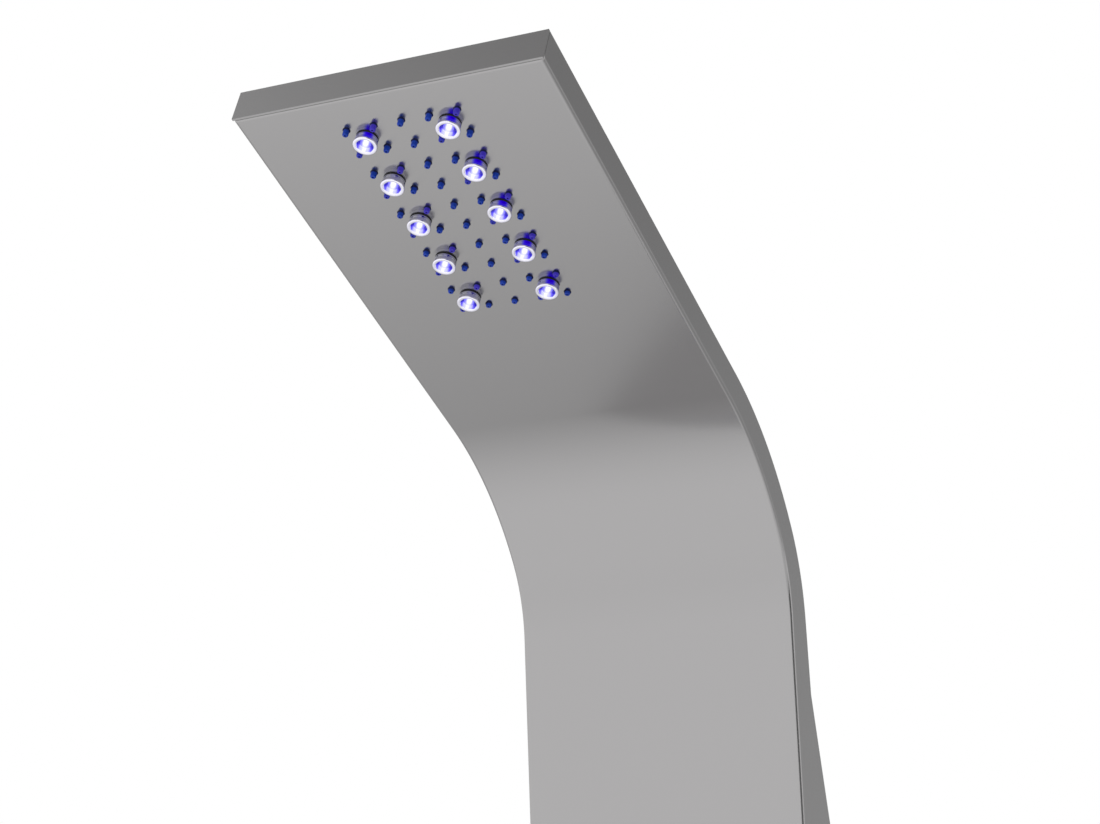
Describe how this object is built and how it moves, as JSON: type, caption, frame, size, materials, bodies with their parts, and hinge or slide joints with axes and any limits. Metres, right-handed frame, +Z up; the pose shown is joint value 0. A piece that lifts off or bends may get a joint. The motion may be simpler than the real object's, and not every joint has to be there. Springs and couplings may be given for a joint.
{
  "type": "shower panel column",
  "caption": "Wall-mounted folded-steel shower column that bends into an overhead rain head with blue silicone nozzles and lights, with body sprays, thermostatic valve and diverter.",
  "frame": {"origin": "centre of the upper wall bracket's back face, on the wall plane", "axes": "+Y into the wall, -Y out into the shower, +Z up the column, +X to the right seen from the front"},
  "size_m": [0.2452, 0.4361, 1.3341],
  "materials": {
    "front_panel": "fine satin brushing",
    "tip_end_plate": "fine satin brushing",
    "back_cover": "plain mill finish",
    "cover_cleats": "bright zinc plate",
    "cover_screws": "passivated stainless steel",
    "bottom_plate": "fine satin brushing",
    "hanger_upper": "bright zinc plate",
    "hanger_lower": "bright zinc plate",
    "wall_bracket_upper": "bright zinc plate",
    "wall_bracket_lower": "bright zinc plate",
    "rain_chamber": "moulded white acetal",
    "rain_mat": "satin royal-blue silicone",
    "rain_studs": "passivated stainless steel",
    "rain_nuts": "passivated stainless steel",
    "led_bezels": "polished chrome",
    "led_seals": "black rubber",
    "led_lenses": "frosted clear polycarbonate",
    "led_reflectors": "glossy blue moulding",
    "led_emitters": "white lamp body",
    "led_nuts": "moulded nylon",
    "led_board": "green circuit board",
    "jet_chamber_upper": "moulded white acetal",
    "jet_mat_upper": "satin royal-blue silicone",
    "jet_chamber_lower": "moulded white acetal",
    "jet_mat_lower": "satin royal-blue silicone",
    "jet_studs": "passivated stainless steel",
    "jet_nuts": "passivated stainless steel",
    "generator_housing": "moulded black nylon",
    "generator_cap": "moulded black nylon",
    "generator_rotor": "white acetal",
    "generator_shaft": "passivated stainless steel",
    "generator_stator": "varnished copper winding",
    "generator_cable": "black cable sheath",
    "led_driver": "potted black case",
    "led_cable": "black cable sheath",
    "riser_hose": "grey reinforced hose",
    "head_hose": "grey reinforced hose",
    "jet_feed_hose": "grey reinforced hose",
    "jet_link_hose": "grey reinforced hose",
    "hand_feed_hose": "grey reinforced hose",
    "hose_clips": "moulded white acetal",
    "hose_clamps": "passivated stainless steel",
    "valve_body": "machined brass",
    "hot_inlet_nipple": "machined brass",
    "cold_inlet_nipple": "machined brass",
    "check_valves": "blue acetal",
    "hand_outlet_nipple": "polished chrome",
    "thermostat_cartridge": "moulded white acetal",
    "thermostat_spindle": "machined brass",
    "thermostat_escutcheon": "polished chrome",
    "thermostat_bonnet": "machined brass",
    "thermostat_knob": "polished chrome",
    "thermostat_button": "glossy red",
    "diverter_cartridge": "moulded white acetal",
    "diverter_spindle": "machined brass",
    "diverter_escutcheon": "polished chrome",
    "diverter_bonnet": "machined brass",
    "diverter_knob": "polished chrome",
    "holder_base": "polished chrome",
    "holder_cradle": "polished chrome"
  },
  "bodies": {
    "panel": {"front_panel": "front_panel", "tip_end_plate": "tip_end_plate", "back_cover": "back_cover", "cover_cleats": "cover_cleats", "cover_screws": "cover_screws", "bottom_plate": "bottom_plate", "hanger_upper": "hanger_upper", "hanger_lower": "hanger_lower", "wall_bracket_upper": "wall_bracket_upper", "wall_bracket_lower": "wall_bracket_lower", "rain_chamber": "rain_chamber", "rain_mat": "rain_mat", "rain_studs": "rain_studs", "rain_nuts": "rain_nuts", "led_bezels": "led_bezels", "led_seals": "led_seals", "led_lenses": "led_lenses", "led_reflectors": "led_reflectors", "led_emitters": "led_emitters", "led_nuts": "led_nuts", "led_board": "led_board", "jet_chamber_upper": "jet_chamber_upper", "jet_mat_upper": "jet_mat_upper", "jet_chamber_lower": "jet_chamber_lower", "jet_mat_lower": "jet_mat_lower", "jet_studs": "jet_studs", "jet_nuts": "jet_nuts", "generator_housing": "generator_housing", "generator_cap": "generator_cap", "generator_shaft": "generator_shaft", "generator_stator": "generator_stator", "generator_cable": "generator_cable", "led_driver": "led_driver", "led_cable": "led_cable", "riser_hose": "riser_hose", "head_hose": "head_hose", "jet_feed_hose": "jet_feed_hose", "jet_link_hose": "jet_link_hose", "hand_feed_hose": "hand_feed_hose", "hose_clips": "hose_clips", "hose_clamps": "hose_clamps", "valve_body": "valve_body", "hot_inlet_nipple": "hot_inlet_nipple", "cold_inlet_nipple": "cold_inlet_nipple", "check_valves": "check_valves", "hand_outlet_nipple": "hand_outlet_nipple", "thermostat_cartridge": "thermostat_cartridge", "thermostat_escutcheon": "thermostat_escutcheon", "thermostat_bonnet": "thermostat_bonnet", "diverter_cartridge": "diverter_cartridge", "diverter_escutcheon": "diverter_escutcheon", "diverter_bonnet": "diverter_bonnet", "holder_base": "holder_base"},
    "turbine": {"generator_rotor": "generator_rotor"},
    "thermostat": {"thermostat_spindle": "thermostat_spindle", "thermostat_knob": "thermostat_knob"},
    "safety_button": {"thermostat_button": "thermostat_button"},
    "diverter": {"diverter_spindle": "diverter_spindle", "diverter_knob": "diverter_knob"},
    "cradle": {"holder_cradle": "holder_cradle"}
  },
  "joints": [
    {"name": "turbine_spin", "type": "hinge", "parent": "panel", "child": "turbine", "pos_m": [0, -0.027, -0.175], "axis": [0, 0, 1], "continuous": true},
    {"name": "temperature_turn", "type": "hinge", "parent": "panel", "child": "thermostat", "pos_m": [0, -0.09, -0.59], "axis": [0, 1, 0], "range_deg": [-90, 60]},
    {"name": "safety_press", "type": "slide", "parent": "thermostat", "child": "safety_button", "axis": [0, 0, -1], "range_m": [0, 0.0015], "stiffness_N_per_m": 600},
    {"name": "outlet_turn", "type": "hinge", "parent": "panel", "child": "diverter", "pos_m": [0, -0.09, -0.47], "axis": [0, 1, 0], "range_deg": [-90, 90]},
    {"name": "cradle_tilt", "type": "hinge", "parent": "panel", "child": "cradle", "pos_m": [0.1, -0.031, -0.37], "axis": [1, 0, 0], "range_deg": [-45, 45]}
  ]
}
